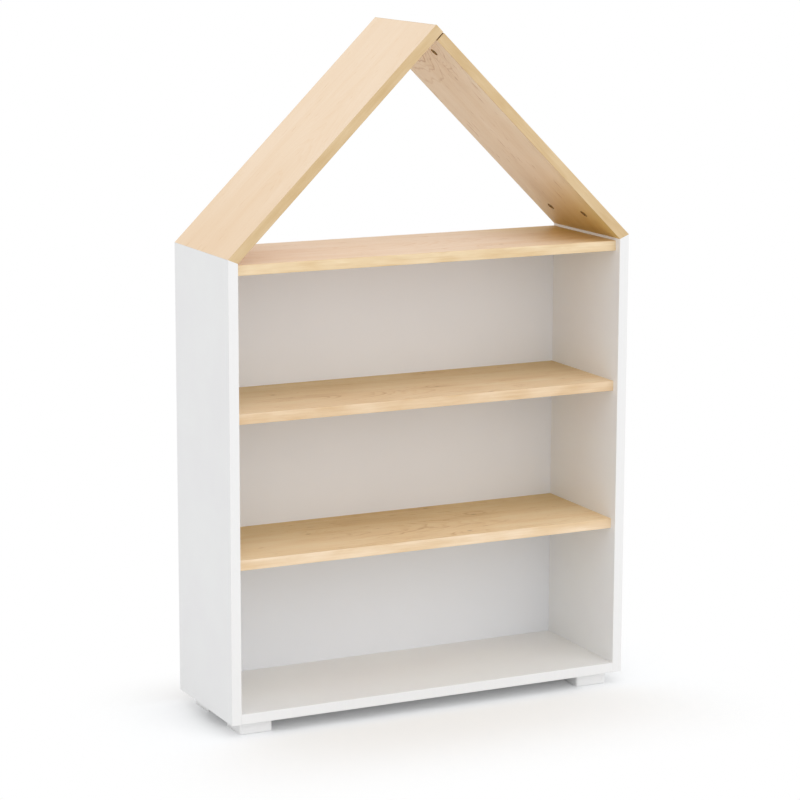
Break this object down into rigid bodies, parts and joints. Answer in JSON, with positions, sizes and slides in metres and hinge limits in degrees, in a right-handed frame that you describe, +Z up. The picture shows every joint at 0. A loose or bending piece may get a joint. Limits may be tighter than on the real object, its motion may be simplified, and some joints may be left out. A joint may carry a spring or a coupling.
{
  "type": "bookcase",
  "caption": "House-shaped bookcase: a white case with wood-decor shelves under an open gabled roof, joined by cam fittings, on low plastic feet.",
  "frame": {"origin": "on the floor, at the middle of the object's width and depth", "axes": "+Z up, -Y out of the open front, +Y towards the back panel, +X to the right as seen from the front"},
  "size_m": [0.764, 0.2436, 1.2],
  "materials": {
    "white_melamine": "white melamine faced chipboard, matt",
    "oak_decor": "light oak decor on chipboard, matt, fine grain",
    "oak_edge": "oak decor edge band",
    "white_edge": "white edge band",
    "back_board": "thin fibreboard, lacquered white at the front, plain at the rear",
    "foot_plastic": "moulded, satin",
    "zinc_casting": "die-cast zinc, nickel flashed",
    "zinc_plated_steel": "bright zinc plated",
    "beech_dowel": "turned beech"
  },
  "bodies": {
    "root": {"side_panel_left": "white_melamine", "side_panel_right": "white_melamine", "bottom_panel": "white_melamine", "lower_shelf": "oak_decor", "upper_shelf": "oak_decor", "top_board": "oak_decor", "roof_board_left": "oak_decor", "roof_board_right": "oak_decor", "back_panel": "back_board", "side_band_left": "white_edge", "side_band_right": "white_edge", "bottom_band": "white_edge", "lower_shelf_band": "oak_edge", "upper_shelf_band": "oak_edge", "top_board_band": "oak_edge", "roof_band_left_front": "oak_edge", "roof_band_left_rear": "oak_edge", "roof_band_right_front": "oak_edge", "roof_band_right_rear": "oak_edge", "ridge_band": "oak_edge", "foot_front_left": "foot_plastic", "foot_front_right": "foot_plastic", "foot_rear_left": "foot_plastic", "foot_rear_right": "foot_plastic", "foot_screws": "zinc_plated_steel", "board_cams": "zinc_casting", "ridge_cams": "zinc_casting", "eaves_cams": "zinc_casting", "board_bolts": "zinc_plated_steel", "ridge_bolts": "zinc_plated_steel", "eaves_screws": "zinc_plated_steel", "eaves_rods": "zinc_plated_steel", "eaves_pins": "zinc_plated_steel", "board_dowels": "beech_dowel", "ridge_dowel": "beech_dowel", "back_nails": "zinc_plated_steel"}
  },
  "joints": []
}
